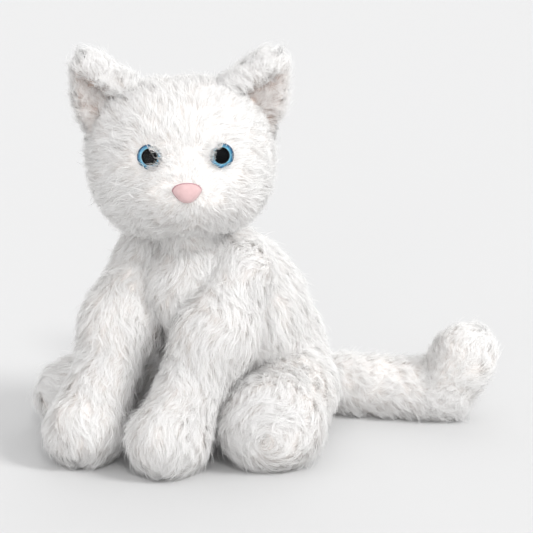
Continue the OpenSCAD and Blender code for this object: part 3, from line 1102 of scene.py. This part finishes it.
def nose_outline(count):
    """The whole outline as a smooth closed curve of count points."""
    points = NOSE_HALF + [(-x, y) for x, y in NOSE_HALF[-2:0:-1]]
    k = len(points)
    curve = []
    for i in range(count):
        u = i * k / count
        j, t = int(u), u - int(u)
        p0, p1, p2, p3 = (np.array(points[(j + m) % k], float) for m in (-1, 0, 1, 2))
        curve.append(0.5 * (2 * p1 + (p2 - p0) * t + (2 * p0 - 5 * p1 + 4 * p2 - p3) * t**2
                            + (3 * p1 - p0 - 3 * p2 + p3) * t**3))
    return np.array(curve)


def nose_pad():
    """A stuffed rounded triangle with its turned-in edge, on the muzzle."""
    rows, columns = 16, 96
    outline = nose_outline(columns)
    verts, faces = [], []
    for i in range(rows + 1):
        r = i / rows
        for x, y in outline * r:
            bulge = 3.4 * math.sqrt(max(0.0, 1 - r**3)) - 0.35 * math.exp(-(((r - 0.86) / 0.04) ** 2))
            drop = 0.020 * x * x + 0.012 * y * y
            verts.append(in_head(x, 0, y) - HEAD + NOSE + FACE_FORWARD * (bulge - 0.6 - drop) * MM)
    for i in range(rows):
        for j in range(columns):
            k = (j + 1) % columns
            faces.append((i * columns + k, i * columns + j, (i + 1) * columns + j, (i + 1) * columns + k))
    ob = smooth_shade(mesh_of("nose_pad", np.array(verts), faces))
    rim = np.repeat(np.arange(rows) >= rows - 1, columns).astype(np.int32)
    ob.data.materials.append(NOSE_PINK)
    ob.data.materials.append(NOSE_RIM)
    ob.data.polygons.foreach_set("material_index", rim)
    return ob


nose = nose_pad()
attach(nose, "head")
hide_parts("nose")

# ---- inner pieces that stay as the CAD made them ----

PELLETS = cloth_material("pellet_cloth", (0.62, 0.61, 0.58), (0.72, 0.71, 0.68))
THREAD = cloth_material("thread", (0.78, 0.76, 0.73), (0.88, 0.86, 0.83), scale=2500.0)
LABEL = cloth_material("label_tape", (0.72, 0.72, 0.70), (0.80, 0.80, 0.78), scale=1800.0, bump=0.2)
MOULDED, *_ = material("moulded_grey", rough=0.5, specular=0.4, colour=(0.05, 0.055, 0.06))


def finish_node(node, mat):
    """Gives a CAD node its material."""
    slots = frame["nodes"][node].data.materials
    slots.clear()
    slots.append(mat)


finish_node("pellet_pouch", PELLETS)
finish_node("neck_thread", THREAD)
finish_node("care_label", LABEL)
for s in SIDES:
    finish_node(f"eye_post_{s}", MOULDED)
    finish_node(f"eye_washer_{s}", MOULDED)

# ---- studio ----

FLOOR_SIZE = 8.0        # half the floor's side, in metres
FLOOR_CORNERS = np.array([[-1, -1, 0], [1, -1, 0], [1, 1, 0], [-1, 1, 0]]) * FLOOR_SIZE
floor = mesh_of("studio_floor", FLOOR_CORNERS, [(0, 1, 2, 3)])
FLOOR_PAPER, *_ = material("floor_paper", rough=0.9, specular=0.0, colour=(0.61, 0.61, 0.61))
floor.data.materials.append(FLOOR_PAPER)

world = bpy.data.worlds.new("studio")
world.use_nodes = True
world.node_tree.nodes["Background"].inputs["Color"].default_value = (0.86, 0.86, 0.865, 1)
world.node_tree.nodes["Background"].inputs["Strength"].default_value = 0.9
bpy.context.scene.world = world


def light(name, azimuth, elevation, energy, angle, mirrored=True):
    """A soft distant light from a direction round the cat, azimuth as the camera's. One that is not mirrored
    leaves no patch of light on the domes of the eyes."""
    lamp = bpy.data.lights.new(name, "SUN")
    lamp.energy = energy
    lamp.angle = math.radians(angle)
    ob = bpy.data.objects.new(name, lamp)
    a, e = math.radians(azimuth), math.radians(elevation)
    towards = Vector((math.sin(a) * math.cos(e), -math.cos(a) * math.cos(e), math.sin(e)))
    ob.rotation_euler = towards.to_track_quat("Z", "Y").to_euler()
    ob.visible_glossy = mirrored
    bpy.context.scene.collection.objects.link(ob)


light("key", CAMERA_AZIMUTH + 60, 36, 1.9, 20, mirrored=False)
light("catch", CAMERA_AZIMUTH + 10, 40, 0.7, 7)
light("fill", CAMERA_AZIMUTH - 4, 2, 1.4, 40, mirrored=False)
light("back", CAMERA_AZIMUTH + 175, 40, 0.6, 60, mirrored=False)

camera = bpy.data.objects.new("camera", bpy.data.cameras.new("camera"))
camera.data.lens = CAMERA_LENS
camera.data.sensor_width = 36.0
a, e = math.radians(CAMERA_AZIMUTH), math.radians(CAMERA_ELEVATION)
away = np.array([math.sin(a) * math.cos(e), -math.cos(a) * math.cos(e), math.sin(e)])
camera.location = CAMERA_AIM + away * CAMERA_DISTANCE
camera.rotation_euler = (math.pi / 2 - e, 0, a)
bpy.context.scene.collection.objects.link(camera)
bpy.context.scene.camera = camera
bpy.context.scene.view_settings.view_transform = "Standard"
